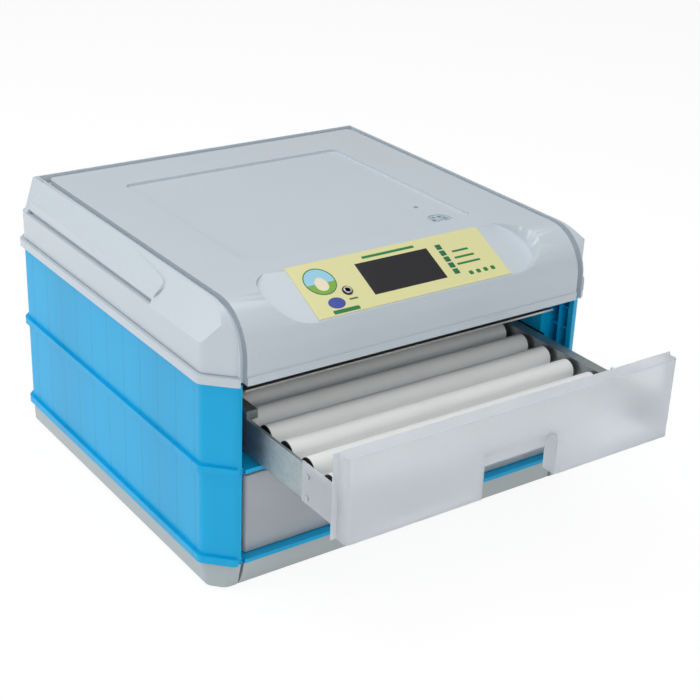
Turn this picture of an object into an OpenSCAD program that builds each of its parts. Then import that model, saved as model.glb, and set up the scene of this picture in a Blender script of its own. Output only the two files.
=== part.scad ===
// Two-drawer egg incubator with roller trays.
// Frame: x to the right, y to the rear, z up. The origin is on the floor under the
// middle of the body. The upper drawer is drawn out, the lower one is shut.

/* [Body] */
// Width across the flat sides
body_w = 530; // [500:1:600]
// Depth across the flat front and rear
body_d = 503; // [490:1:520]
// Leg of the corner chamfers
corner_cut = 28; // [20:1:30]
// Radius where a chamfer meets a side
corner_r = 12; // [4:1:16]
// Height of the base up to the lower tier's lip
base_h = 33; // [30:1:45]
// Height from one tier's lip to the next
tier_h = 112.5; // [110:0.5:122]
// How far each piece laps over the one below
lap = 6; // [4:0.5:7]
// Height of the lap's lip
lip_h = 9; // [8:0.5:12]
// How far the lip stands out
lip_out = 4; // [3:0.5:5]
// Outer wall thickness
skin = 3; // [2:0.25:4]
// Spacing of the ribs between the inner and outer walls
rib_pitch = 41; // [36:1:46]

/* [Lid] */
// Height of the lid from its skirt to its top
lid_h = 82; // [80:1:95]
// How far the skirt reaches below the top of the upper tier
lid_drop = 6; // [5:0.5:8]
// Radius of the front top edge
lid_front_r = 55; // [45:1:60]
// Radius of the rear top edge
lid_rear_r = 18; // [12:1:24]
// How far the lid's front stands before the body
lid_overhang = 4.5; // [3:0.5:6]
// Width of the lid's cheek, with its groove, beside the hood
cheek_w = 37; // [35:0.5:41]
// Width of the grooves beside and behind the hood
groove_w = 8; // [6:0.5:10]
// Depth of the grooves
groove_depth = 9; // [7:0.5:12]
// Thickness of the lid's walls
lid_wall = 3; // [2.5:0.25:4]

/* [Control pocket] */
// Tilt of the control pocket's floor
pocket_tilt = 25.9; // [24:0.1:28]
// Straight half-length of the pocket
pocket_half = 140; // [134:1:144]
// Radius of the pocket's round ends
pocket_r = 43; // [41:0.5:46]
// Width of the printed overlay
label_w = 266; // [260:1:272]
// Height of the printed overlay
label_h = 78; // [74:1:80]
// Width of the display window
display_w = 100; // [90:1:110]
// Height of the display window
display_h = 47; // [40:1:54]
// Side of a square button
button_size = 7; // [6:0.25:8]
// Spacing of the buttons
button_pitch = 9.7; // [9:0.1:11]
// Travel of a button
button_travel = 0.8; // [0.5:0.1:1]
// Diameter of the low-voltage socket
jack_d = 12; // [10:0.5:14]

/* [Vent] */
// Diameter of the vent dial
vent_d = 29; // [24:0.5:32]
// Distance of the vent dial from the recess's right edge
vent_in = 38; // [28:1:48]
// Distance of the vent dial from the recess's front edge
vent_back = 14; // [10:1:30]

/* [Drawers] */
// How far the upper drawer is drawn out
drawer_open = 190; // [100:1:200]
// Height of the drawer front
front_h = 96.5; // [94:0.5:97.5]
// Depth of the drawer front's box
front_d = 19; // [16:0.5:22]
// Wall thickness of the drawer front
front_wall = 2.2; // [1.8:0.1:3]
// Width of the handle notch
handle_w = 100; // [90:1:110]
// Height of the handle notch
handle_h = 53; // [46:1:58]
// Height of the side rails
rail_h = 41; // [38:0.5:44]
// Distance from the body's side to the rail's outer face
side_room = 53; // [52:0.5:55]
// Thickness of the rails' sheet
sheet = 1.5; // [1:0.1:2]
// Length of the body that the spaces between the rollers leave over
roller_room = 178.2; // [170:0.1:190]
// Diameter of a roller
roller_d = 25; // [22:0.5:26]
// Diameter of a roller's axle
axle_d = 5; // [4:0.5:6]

/* [Heater and fan] */
// Height of the heater plate above the upper tier's lip
plate_up = 86; // [84:0.5:88]
// Thickness of the heater plate
plate_t = 1.2; // [1:0.1:2]
// Side of the fan's frame
fan_size = 92; // [80:1:110]
// Depth of the fan's frame
fan_depth = 25; // [20:1:30]
// Number of fan blades
fan_blades = 7; // [5:1:9]

/* [Hidden] */
$fn = 48;
// Clearances: between parts that slide, between parts that are fixed, in a shaft's bore
slit = 0.4;
seat = 0.2;
bore_gap = 0.05;

// Body
half_w = body_w / 2;
half_d = body_d / 2;
rail_half = half_w - side_room;
hood_half = half_w - cheek_w;
foot_d = 24;
foot_t = 1.5;
foot_x = half_w - 60;
foot_y = half_d - 60;
base_taper_x = 4;
base_taper_y = 7;
base_round = 4;
foot_cut = corner_cut / 2;
skirt_front = half_d - 17;
floor_t = 3;
upper_z = base_h + tier_h;
lid_z = base_h + 2 * tier_h - lid_drop;
lid_top = lid_z + lid_h;
band_h = 9.5;
wall_top = lid_z + band_h - 1.5;

// Tier
post_x = half_w - corner_cut;
post_t = 6;
post_in = post_x - post_t;
bay_front = -half_d + 40;
liner = 2.5;
liner_in = rail_half + 6.5;
liner_rear = half_d - 23;
water_w = liner_in - 13.5;
water_d = half_d - 61.5;
water_h = 20;
sill_h = 5;
sill_d = 9;
ledge_t = 3;
ledge_d = 46;
notch_w = 4;

// Drawers, in a frame with z = 0 at the tier's lip and y as when shut.
// Each roller is a node of its own, so their number is fixed.
rollers = 9;
front_y = -half_d + 10.5;
front_z = sill_h + 0.6;
front_half = rail_half + 9;
flange_half = front_half + 6;
flange_t = 2;
rail_z = sill_h + 5;
rail_front_y = front_y + front_d + 4;
rail_fold = 14;
bracket_end = front_y + 90;
bracket_screw_y = front_y + 79;
roller_z = rail_z + 27.5;
roller_y0 = front_y + 59.6;
roller_pitch = (body_d - roller_room) / (rollers - 1);
rail_rear_y = roller_y0 + (rollers - 1) * roller_pitch + roller_d / 2 + 5;
roller_left = -rail_half + 12;
roller_right = rail_half - 22;
roller_wall = 1.6;
cap_t = 7;
cap_lip = 1.2;
sprocket_d = 15;
sprocket_teeth = 10;
sprocket_t = 3;
sprocket_mid = rail_half - 7.5;
drive_d = 11;
chain_t = 2.5;
chain_gap = 0.4;
cover_w = 14;
cover_h = 9;
cover_front_y = roller_y0 + 3.5 * roller_pitch;
gearbox_d = 39;
gearbox_h = 20;
motor_d = 30;
motor_l = 42;
shaft_d = 6;
screw_d = 5.5;
screw_h = 1.8;
guide_gap = 0.35;
guide_x = rail_half + 4.6;
guide_lip = 2.4;
runner_l = 70;
rail_fold_left = 4;
ear_t = 2;
ear_top = rail_z + rail_h + 5;
screw_shank = 3.5;
bracket_screw_z = [rail_z + 8, rail_z + rail_h - 8];
guide_screw_z = [rail_z + 15, rail_z + rail_h - 15];
drive_teeth = 8;
drive_z = roller_z - sprocket_d / 2 - chain_gap - chain_t - chain_gap - drive_d / 2;
motor_y = rail_rear_y + sheet + seat + gearbox_d / 2;

// Lid
hood_rear = half_d - 25;
lid_front = half_d + lid_overhang;
band_out = 1.6;
skirt_out = 5;
cheek_in = hood_half + groove_w;
cheek_step_z = lid_z + 44;
cheek_groove = 4;
upper_setback = 6;
pad_setback = 5;
slot_d = 5.5;
slot_depth = 8;
pad_front = -half_d + 136.5;
pad_nose = 12;
pad_sweep = 130;
pad_rear = half_d - 39.5;
recess_half_x = hood_half - 70;
recess_front = -half_d + 113.5;
recess_rear = half_d - 95.5;
recess_depth = 3.2;
pocket_y = -half_d + 42.5;
pocket_z = lid_z + 65.2;
display_x = 0;
button_x = 66;
button_v = 21;
button_stem = 2.4;
button_rise = 0.9;
jack_x = -79;
jack_v = -9.5;
label_t = 0.5;
board_w = -lid_wall - 7.6;
board_t = 1.6;
board_l = label_w - 36;
board_h = label_h - 16;
board_post_u = board_l / 2 - 7;
board_post_v = board_h / 2 - 5;
board_post_d = 5;
plunger_d = 3.5;
button_foot_t = 1;
display_edge = 4;
vent_x = recess_half_x - vent_in;
vent_y = recess_front + vent_back;
vent_depth = 3;
vent_ports = 6;
vent_pin_d = 5;
inlet_x = half_w - 115;
inlet_z = lid_z + 28;
inlet_w = 27;
inlet_h = 20;

// Heater and fan
plate_z = upper_z + plate_up;
plate_front = front_y + 8;
plate_half = liner_in - 2.5;
plate_hem = 2.4;
shelf_front = front_y + front_d + 23;
hole_pitch = 15;
coil_d = 6.5;
coil_half = 110;
coil_up = 16;
coil_r = 22;
post_d = 14;
post_h = 22;
probe_x = -plate_half + 34;
probe_y = -70;
probe_d = 9;
probe_l = 26;
hub_d = 34;
fan_hub_z = plate_z + plate_t + 4;

module at_tier(z) { translate([0, 0, z]) children(); }
module both_sides() { for (side = [0, 1]) mirror([side, 0, 0]) children(); }
module block(a, b) { translate(a) cube(b - a); }

// ---- Outlines ----

function unit(v) = v / norm(v);

// Points of an arc of radius r in the corner b between a and c
function fillet(a, b, c, r, n) =
    let (u = unit(a - b), v = unit(c - b), half = acos(u * v) / 2)
    let (from = b + u * r / tan(half), to = b + v * r / tan(half))
    let (centre = b + unit(u + v) * r / sin(half))
    let (a0 = atan2(from.y - centre.y, from.x - centre.x))
    let (a1 = atan2(to.y - centre.y, to.x - centre.x))
    let (turn = (a1 - a0 + 540) % 360 - 180)
    [for (i = [0 : n]) centre + r * [cos(a0 + turn * i / n), sin(a0 + turn * i / n)]];

// A closed outline whose corners are rounded, each by its own radius
function rounded(pts, radii, n = 5) = let (count = len(pts)) [
    for (i = [0 : count - 1])
        each radii[i] > 0
            ? fillet(pts[(i + count - 1) % count], pts[i], pts[(i + 1) % count], radii[i], n)
            : [pts[i]]
];

// Plan of the body, grown outwards by grow
function plan_points(grow) =
    let (w = half_w + grow, d = half_d + grow, c = corner_cut + grow * (2 - sqrt(2)))
    [[w, -d + c], [w, d - c], [w - c, d], [c - w, d], [-w, d - c], [-w, c - d], [c - w, -d], [w - c, -d]];

module plan(grow = 0) {
    polygon(rounded(plan_points(grow), [for (i = [0 : 7]) corner_r]));
}

module box_plan(w, d, r) {
    polygon(rounded([[w, -d], [w, d], [-w, d], [-w, -d]], [r, r, r, r]));
}

// ---- Base ----

// Outline of the base's floor, drawn in from the plan
module base_foot(inset) {
    w = half_w - base_taper_x - inset;
    d = half_d - base_taper_y - inset;
    c = foot_cut;
    polygon(rounded(
        [[w, -d + c], [w, d - c], [w - c, d], [c - w, d], [-w, d - c], [-w, c - d], [c - w, -d], [w - c, -d]],
        [for (i = [0 : 7]) corner_r]
    ));
}

module base_form(inset, top) {
    hull() {
        translate([0, 0, inset]) linear_extrude(0.1) base_foot(base_round + inset);
        translate([0, 0, base_round + inset]) linear_extrude(0.1) base_foot(inset);
        translate([0, 0, top - 0.1]) linear_extrude(0.1) plan(-seat - inset);
    }
}

module at_feet() { for (x = [-foot_x, foot_x], y = [-foot_y, foot_y]) translate([x, y, 0]) children(); }

// Ring inside the base's rim that the lower tier drops over
module base_spigot(z, height, inset) {
    translate([0, 0, z]) linear_extrude(height) difference() {
        plan(-inset);
        plan(-2 * skin - slit);
        translate([-post_x - 1, -body_d]) square([2 * post_x + 2, body_d + bay_front]);
    }
}

module base_tray() {
    color([0.67, 0.7, 0.71]) difference() {
        union() {
            difference() {
                base_form(0, base_h - seat);
                difference() {
                    base_form(floor_t, base_h + 1);
                    block([-post_in, -body_d, 0], [post_in, -skirt_front, base_h]);
                }
            }
            base_spigot(base_h - lap, lap - seat, skin - slit);
            base_spigot(base_h - lap, 2 * lap - seat, skin + slit);
        }
        both_sides() block([post_in - notch_w, -half_d - 1, -1], [post_in, -half_d + 12, base_h + 1]);
        // the skirt between the notches is drawn back at its foot
        along_x(post_in) polygon([[-body_d, -1], [-half_d + base_taper_y + 5, -1],
            [-half_d + base_taper_y + 3, base_round], [-half_d - seat, base_h - lap], [-body_d, base_h - lap]]);
        at_feet() translate([0, 0, -1]) cylinder(h = foot_t + 1 + seat / 2, d = foot_d);
    }
}

module base_feet() {
    color([0.12, 0.12, 0.13]) at_feet() cylinder(h = foot_t, d = foot_d - 2 * seat);
}

module water_tray() {
    z = floor_t + seat;
    color([0.2, 0.55, 0.75]) difference() {
        union() {
            translate([0, 0, z]) linear_extrude(water_h) box_plan(water_w, water_d, 12);
            translate([0, 0, z + water_h - 2]) linear_extrude(2) box_plan(water_w + 5, water_d + 5, 15);
        }
        for (i = [-1, 0, 1]) translate([0, i * (2 * water_d / 3), z + 2]) linear_extrude(water_h)
            box_plan(water_w - 4, water_d / 3 - 3, 8);
    }
}

// ---- Tiers ----

// Plan of a tier's walls: two skins joined by ribs, open at the front
module wall_plan() {
    difference() {
        plan(0);
        // the drawer's bay
        translate([-liner_in, -half_d - 1]) square([2 * liner_in, half_d + 1 + liner_rear]);
        translate([-post_in, -half_d - 1]) square([2 * post_in, half_d + bay_front + 1]);
        // cells between the skins
        both_sides() intersection() {
            plan(-skin);
            for (y = [bay_front + liner : rib_pitch : half_d])
                translate([liner_in + liner, y]) square([half_w, rib_pitch - liner]);
        }
        // the pocket behind each front post
        both_sides() intersection() {
            plan(-skin);
            translate([post_in - 1, -half_d + 8]) square([half_w, 14]);
        }
        both_sides() intersection() {
            plan(-skin);
            translate([post_in - 1, -half_d + 24]) square([half_w, half_d + bay_front - 24]);
        }
        // the rear wall's cells
        for (i = [0 : 9]) translate([-liner_in + 8 + i * 2 * (liner_in - 8) / 10, liner_rear + liner])
            square([2 * (liner_in - 8) / 10 - liner, half_d - liner_rear - liner - skin]);
    }
}

// Everything behind the front posts, which lap over the tier below
module behind_posts() {
    translate([-body_w, -half_d + 24, -1]) cube([2 * body_w, 2 * half_d, tier_h + 2 * lap]);
    both_sides() translate([post_x, -half_d - lip_out - 1, -1]) cube([body_w, body_d, tier_h + 2 * lap]);
}

module tier(post_top, back_top) {
    // walls
    intersection() {
        translate([0, 0, lap]) linear_extrude(back_top - lap) wall_plan();
        behind_posts();
    }
    difference() {
        linear_extrude(post_top - seat) wall_plan();
        behind_posts();
    }
    // shelves for the heater plate
    both_sides() block([plate_half - 8, shelf_front, plate_up - 4], [liner_in + 1, liner_rear + 1, plate_up - seat]);
    // cross ribs in the front pockets
    both_sides() intersection() {
        for (i = [1 : 3]) translate([0, 0, lap + i * (tier_h - lap) / 4]) linear_extrude(2) intersection() {
            plan(-1);
            translate([post_in + 4, -half_d + 6]) square([half_w, 34]);
        }
        translate([0, -half_d, 0]) cube([body_w, body_d, body_d]);
    }
    // lip
    difference() {
        linear_extrude(lip_h) difference() {
            plan(lip_out);
            plan(-0.5);
            translate([-post_x, -body_d]) square([2 * post_x, body_d - bay_front]);
        }
        translate([0, 0, -1]) linear_extrude(lap + 1) plan(slit);
    }
    // sill and ledge
    difference() {
        union() {
            block([-post_in - 1, -half_d - 1.2, 0], [post_in + 1, -half_d + sill_d, sill_h]);
            block([-liner_in + 6, -half_d + 2, sill_h - ledge_t - 1], [liner_in - 6, -half_d + ledge_d, sill_h - 1]);
            block([slit - post_in, -half_d + 2, sill_h - ledge_t - 1], [post_in - slit, bay_front - slit, sill_h - 1]);
        }
        both_sides() block([post_in - notch_w, -half_d - 3, -1], [post_in, -half_d + 4, sill_h + 1]);
    }
}

module lower_tier() { color([0.02, 0.68, 0.9]) at_tier(base_h) tier(tier_h, lap + tier_h - seat); }
module upper_tier() { color([0.02, 0.68, 0.9]) at_tier(upper_z) tier(tier_h - lid_drop, wall_top - upper_z); }

// ---- Lid ----

module along_x(half) { translate([-half, 0, 0]) rotate([90, 0, 90]) linear_extrude(2 * half) children(); }
module along_y(half) { translate([0, half, 0]) rotate([90, 0, 0]) linear_extrude(2 * half) children(); }

// Side profile of the lid, drawn in by inset
module lid_profile(inset, rear, z0) {
    top = lid_top - inset;
    front = -lid_front + inset;
    polygon(rounded(
        [[front, z0], [rear, z0], [rear, top], [front, top]],
        [0, 0, 4, lid_front_r - inset], 10
    ));
}

// Right half of the lid's cross-section: a bevel runs from the step up to the top. The pad
// stands out over the bevel.
function cheek_points(inset, pad) = let (w = half_w - inset, z = cheek_step_z - inset / 2) concat(
    [[w, lid_z - 1], [w, z]],
    pad ? [[w - pad_setback, z + 1], [w - pad_setback - 1, z + 16]] : [],
    [[cheek_in + 3 - inset, lid_top - inset]]
);
function cheek_radii(pad) = concat([0, 1.5], pad ? [0, 9] : [], [3]);
function backwards(list) = [for (i = [len(list) - 1 : -1 : 0]) list[i]];

module lid_section(inset, pad) {
    right = cheek_points(inset, pad);
    left = [for (p = backwards(right)) [-p.x, p.y]];
    polygon(rounded(concat(right, left), concat(cheek_radii(pad), backwards(cheek_radii(pad))), 4));
}

module lid_plan(inset) {
    plan(-inset);
    translate([-post_x, -lid_front + inset]) square([2 * post_x, half_d]);
}

module lid_form(inset, pad) {
    intersection() {
        along_x(body_w) polygon(rounded(
            [[-lid_front + inset, lid_z - 1], [half_d - inset, lid_z - 1],
                [half_d - inset, lid_top - inset], [-lid_front + inset, lid_top - inset]],
            [0, 0, lid_rear_r - inset, lid_front_r - inset], 10
        ));
        along_y(body_d) lid_section(inset, pad);
        union() {
            translate([0, 0, lid_z - 1]) linear_extrude(cheek_step_z - lid_z + 3 - inset) lid_plan(inset);
            translate([0, 0, lid_z]) linear_extrude(lid_h) intersection() {
                lid_plan(inset);
                translate([0, -upper_setback]) lid_plan(inset);
            }
        }
    }
}

// The space that the upper tier's walls fill under the lid
module tier_top_space() {
    translate([0, 0, lid_z - 1]) linear_extrude(wall_top + seat + 1 - lid_z) difference() {
        plan(slit);
        translate([slit - post_x, -body_d]) square([2 * (post_x - slit), body_d - half_d + 24 - slit]);
    }
}

// Side view of the pad: its front end leans forward, its upper edge sweeps back to the top
module pad_outline() {
    foot = pad_front + 4;
    polygon(rounded(
        [[pad_rear, lid_z], [foot, lid_z], [foot, cheek_step_z + 5], [foot - pad_nose, lid_top - 11],
            [foot + 2 * pad_nose, lid_top - 7], [foot + pad_sweep, lid_top + 1], [pad_rear, lid_top + 1]],
        [0, 0, 3, 7, 20, 0, 0]
    ));
}

// The slot below the pad, with a round front end
module pad_slot() {
    z = cheek_step_z + 0.5;
    block([half_w - slot_depth, pad_front + slot_d, z], [body_w, pad_rear, z + slot_d]);
    translate([half_w - slot_depth, pad_front + slot_d, z + slot_d / 2]) rotate([0, 90, 0])
        cylinder(h = 2 * slot_depth, d = slot_d);
}

module hood_room(grow) {
    block([-cheek_in - grow, -body_d, lid_z - 1], [cheek_in + grow, hood_rear + groove_w + grow, lid_top + 1]);
}

module lid_frame() {
    color([0.78, 0.82, 0.85]) difference() {
        union() {
            lid_form(0, false);
            intersection() {
                lid_form(0, true);
                along_x(body_w) pad_outline();
            }
            translate([0, 0, lid_z]) linear_extrude(band_h) difference() {
                plan(skirt_out);
                translate([-cheek_in, -body_d]) square([2 * cheek_in, body_d]);
            }
        }
        both_sides() pad_slot();
        // the line above the band
        translate([0, 0, lid_z + band_h]) linear_extrude(1.6) difference() {
            plan(skirt_out);
            plan(-1.5);
            translate([-cheek_in, -body_d]) square([2 * cheek_in, body_d]);
        }
        // room for the hood and the groove round it
        hood_room(0);
        // hollow
        difference() {
            lid_form(lid_wall + cheek_groove, false);
            hood_room(lid_wall);
        }
        intersection() {
            lid_form(lid_wall + cheek_groove, false);
            along_x(cheek_in + 2 * lid_wall)
                lid_profile(2 * groove_depth, hood_rear + groove_w + 2 * lid_wall, lid_z - 1);
        }
        tier_top_space();
        translate([inlet_x - inlet_w / 2 - seat, half_d - 20, inlet_z - inlet_h / 2 - seat])
            cube([inlet_w + 2 * seat, 30, inlet_h + 2 * seat]);
    }
}

module hood_plan(grow) {
    w = hood_half + grow;
    rear = hood_rear + grow;
    polygon(rounded([[w, -body_d], [w, rear], [-w, rear], [-w, -body_d]], [0, 14 + grow, 14 + grow, 0]));
}

module hood_form(inset, grow) {
    intersection() {
        along_x(hood_half + grow) lid_profile(inset, hood_rear + grow, lid_z - 1);
        translate([0, 0, lid_z]) linear_extrude(lid_h) hood_plan(grow);
    }
}

module on_panel(u = 0, v = 0, w = 0) {
    translate([0, pocket_y, pocket_z]) rotate([pocket_tilt, 0, 0]) translate([u, v, w]) children();
}

module pocket_outline(grow) {
    r = pocket_r + grow;
    polygon([for (s = [-1, 1], i = [-10 : 10]) [s * (pocket_half + r * cos(i * 9)), s * r * sin(i * 9)]]);
}

// The pocket, whose sides slope out from its floor
module pocket(grow, below) {
    on_panel() hull() {
        translate([0, 0, -below]) linear_extrude(0.1) pocket_outline(grow);
        translate([0, 0, 30]) linear_extrude(0.1) pocket_outline(grow + 9);
    }
}

module recess_block(grow, z) {
    y = (recess_front + recess_rear) / 2;
    translate([0, y, z]) linear_extrude(2 * lid_wall + recess_depth)
        box_plan(recess_half_x + grow, (recess_rear - recess_front) / 2 + grow, 10);
}

module hood() {
    color([0.8, 0.83, 0.87]) difference() {
        union() {
            difference() {
                union() {
                    hood_form(0, 0);
                    hood_form(groove_depth, groove_w - seat);
                    block([-hood_half, -lid_front - band_out, lid_z], [hood_half, -lid_front + 2, lid_z + band_h]);
                }
                difference() {
                    union() {
                        hood_form(lid_wall, -lid_wall);
                        hood_form(groove_depth + lid_wall, groove_w - seat - lid_wall);
                    }
                    recess_block(lid_wall, lid_top - recess_depth - lid_wall);
                    pocket(lid_wall, lid_wall);
                }
            }
            translate([vent_x, vent_y, lid_top - recess_depth - vent_depth - lid_wall])
                cylinder(h = vent_depth + lid_wall, d = vent_d + 2 * lid_wall);
        }
        recess_block(0, lid_top - recess_depth);
        pocket(0, 0);
        // the vent's dish, its ports and its pivot
        translate([vent_x, vent_y, lid_top - recess_depth - vent_depth]) cylinder(h = body_d, d = vent_d + 2 * slit);
        translate([vent_x, vent_y, lid_z]) vent_ports(lid_h, vent_ports);
        translate([vent_x, vent_y, lid_z]) cylinder(h = lid_h, d = vent_pin_d + 2 * bore_gap);
        translate([vent_x - 1, vent_y + 47, lid_z]) cylinder(h = lid_h + 1, d = 6);
        // cut-outs in the pocket's floor
        on_panel(display_x, 0, -10) linear_extrude(20) square([display_w + 2 * seat, display_h + 2 * seat], center = true);
        on_panel(jack_x, jack_v, -10) cylinder(h = 20, d = jack_d - 3 + 2 * seat);
        for (i = [0 : 4]) on_panel(button_x, button_v - i * button_pitch, -10)
            linear_extrude(20) square(button_size + slit, center = true);
        // the part over the tier's walls starts above them
        block([-body_w, -half_d + 24 - slit, lid_z - 1], [body_w, body_d, wall_top + seat]);
    }
}

module vent_ports(height, count) {
    for (i = [0 : count - 1]) rotate([0, 0, i * 360 / count]) translate([vent_d * 0.3, 0, 0])
        cylinder(h = height, d = vent_d * 0.18);
}

module vent_dial() {
    z = lid_top - recess_depth - vent_depth + seat;
    color([0.74, 0.79, 0.83]) translate([vent_x, vent_y, z]) difference() {
        union() {
            cylinder(h = 2, d = vent_d);
            translate([0, 0, -lid_wall - seat]) cylinder(h = lid_wall + seat + 1, d = vent_pin_d);
            for (i = [0 : 2]) rotate([0, 0, 30 + i * 60]) translate([0, 0, 2.3]) cube([vent_d - 6, 1.4, 1.2], center = true);
        }
        translate([0, 0, -1]) vent_ports(4, vent_ports);
    }
}

module power_inlet() {
    color([0.08, 0.08, 0.09]) difference() {
        union() {
            block([inlet_x - inlet_w / 2, half_d - 17, inlet_z - inlet_h / 2], [inlet_x + inlet_w / 2, half_d + 1, inlet_z + inlet_h / 2]);
            block([inlet_x - inlet_w / 2 - 5, half_d + seat, inlet_z - inlet_h / 2 - 3],
                [inlet_x + inlet_w / 2 + 5, half_d + 2.5, inlet_z + inlet_h / 2 + 3]);
        }
        block([inlet_x - inlet_w / 2 + 3, half_d - 13, inlet_z - inlet_h / 2 + 3],
            [inlet_x + inlet_w / 2 - 3, half_d + 5, inlet_z + inlet_h / 2 - 3]);
    }
    color([0.7, 0.7, 0.72]) for (x = [-6, 0, 6]) translate([inlet_x + x, half_d - 13.5, inlet_z + (x == 0 ? 2 : -2)])
        rotate([-90, 0, 0]) cylinder(h = 11, d = 2.4);
}

// ---- Controls ----

module control_label() {
    color([0.86, 0.85, 0.6]) on_panel(0, 0, seat / 4) linear_extrude(label_t) difference() {
        square([label_w, label_h], center = true);
        translate([display_x, 0]) square([display_w + 2 * seat, display_h + 2 * seat], center = true);
        translate([jack_x, jack_v]) circle(d = jack_d + 1);
        for (i = [0 : 4]) translate([button_x, button_v - i * button_pitch]) square(button_size + slit, center = true);
    }
}

module display_window() {
    color([0.03, 0.03, 0.05]) on_panel(display_x, 0, -lid_wall) linear_extrude(lid_wall + label_t + seat)
        square([display_w, display_h], center = true);
}

module dc_jack() {
    color([0.1, 0.1, 0.1]) on_panel(jack_x, jack_v, 0) difference() {
        union() {
            translate([0, 0, -9]) cylinder(h = 9.5, d = jack_d - 3);
            translate([0, 0, seat / 4]) cylinder(h = 1.6, d = jack_d);
        }
        translate([0, 0, -7]) cylinder(h = 10, d = 5.5);
    }
    color([0.7, 0.7, 0.7]) on_panel(jack_x, jack_v, -7.5) cylinder(h = 6.5, d = 2);
}

module button(i) {
    color([0.1, 0.45, 0.28]) on_panel(button_x, button_v - i * button_pitch, 0) {
        translate([0, 0, -lid_wall - button_foot_t]) linear_extrude(lid_wall + button_foot_t + label_t + button_rise)
            square(button_size, center = true);
        translate([0, 0, -lid_wall - slit - button_foot_t]) linear_extrude(button_foot_t)
            square([button_size + 4, button_size + 1.6], center = true);
    }
}

module main_board() {
    room = -lid_wall - board_w - board_t;
    color([0.05, 0.35, 0.2]) {
        on_panel(0, 0, board_w) linear_extrude(board_t) square([board_l, board_h], center = true);
        for (i = [0 : 4]) on_panel(button_x, button_v - i * button_pitch, board_w + board_t)
            cylinder(h = room - slit - button_foot_t - button_travel - seat, d = plunger_d);
        for (u = [-board_post_u, board_post_u], v = [-board_post_v, board_post_v])
            on_panel(u, v, board_w + board_t) cylinder(h = room - seat / 2, d = board_post_d);
        on_panel(display_x, 0, board_w + board_t) linear_extrude(room - seat)
            square([display_w - display_edge, display_h - display_edge], center = true);
    }
}

// ---- Heater and fan ----

module heater_plate() {
    y0 = plate_front;
    y1 = liner_rear - 6;
    color([0.6, 0.6, 0.6]) difference() {
        union() {
            block([-plate_half, y0, plate_z], [plate_half, y1, plate_z + plate_t]);
            block([-plate_half, y0, plate_z], [plate_half, y0 + plate_hem, plate_z + plate_hem]);
        }
        // the front row of holes
        count = floor((2 * plate_half - 50) / hole_pitch);
        for (i = [0 : count - 1]) translate([(i - (count - 1) / 2) * hole_pitch - 5.5, y0 + 11, plate_z - 1]) cube([11, 6, 5]);
        translate([0, 0, plate_z - 1]) cylinder(h = 5, d = fan_size - 8);
        translate([probe_x, probe_y, plate_z - 1]) cylinder(h = 5, d = probe_d + 2 * bore_gap);
    }
}

module sensor_probe() {
    color([0.85, 0.85, 0.83]) translate([probe_x, probe_y, plate_z]) {
        translate([0, 0, -plate_t]) cylinder(h = probe_l, d = probe_d);
        translate([0, 0, plate_t]) cylinder(h = 3, d = probe_d + 6);
    }
}

// A square loop of heating rod held on four ceramic posts
module heating_coil() {
    z = plate_z + coil_up;
    run = 2 * (coil_half - coil_r);
    color([0.45, 0.42, 0.4]) for (a = [0 : 90 : 270]) rotate([0, 0, a]) {
        translate([coil_half, -run / 2, z]) rotate([-90, 0, 0]) cylinder(h = run, d = coil_d);
        translate([coil_half - coil_r, run / 2, z]) rotate_extrude(angle = 90) translate([coil_r, 0]) circle(d = coil_d);
    }
    color([0.9, 0.88, 0.84]) for (a = [0 : 90 : 270]) rotate([0, 0, a]) difference() {
        translate([coil_half, 0, plate_z + plate_t]) cylinder(h = post_h, d = post_d);
        translate([coil_half, -post_d, z]) rotate([-90, 0, 0]) cylinder(h = 2 * post_d, d = coil_d + 2 * bore_gap);
    }
}

module fan_housing() {
    z = plate_z + plate_t;
    color([0.1, 0.1, 0.1]) {
        difference() {
            translate([0, 0, z]) linear_extrude(fan_depth) box_plan(fan_size / 2, fan_size / 2, 5);
            translate([0, 0, z - 1]) cylinder(h = fan_depth + 2, d = fan_size - 6, $fn = 72);
            for (x = [-1, 1], y = [-1, 1]) translate([x, y, 0] * (fan_size / 2 - 5) + [0, 0, z - 1])
                cylinder(h = fan_depth + 2, d = 4.3);
        }
        difference() {
            union() {
                for (a = [45 : 90 : 315]) rotate([0, 0, a]) translate([0, -2, z + fan_depth - 3])
                    cube([fan_size / 2 - 2, 4, 3]);
                translate([0, 0, z + fan_depth - 3]) cylinder(h = 3, d = hub_d);
            }
            translate([0, 0, z]) cylinder(h = fan_depth + 1, d = 4 + 2 * bore_gap);
        }
    }
}

module fan_rotor() {
    h = fan_depth - 9;
    color([0.13, 0.13, 0.14]) translate([0, 0, fan_hub_z]) {
        cylinder(h = h, d = hub_d);
        cylinder(h = h + 5, d = 4);
        for (i = [0 : fan_blades - 1]) rotate([0, 0, i * 360 / fan_blades]) translate([hub_d / 2 - 2, 0, h / 2])
            rotate([35, 0, 0]) translate([0, -9, -0.8]) cube([fan_size / 2 - 3.5 - hub_d / 2, 18, 1.6]);
    }
}

// ---- Drawers ----

module drawer(z, out) { translate([0, -out, z]) children(); }

module handle_outline(grow) {
    w = handle_w / 2 + grow;
    top = front_z + handle_h + grow;
    polygon(rounded([[-w, front_z - 5], [w, front_z - 5], [w, top], [-w, top]], [0, 0, 12 + grow, 12 + grow]));
}

module along_drawer(y0, y1) { translate([0, y1, 0]) rotate([90, 0, 0]) linear_extrude(y1 - y0) children(); }

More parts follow.
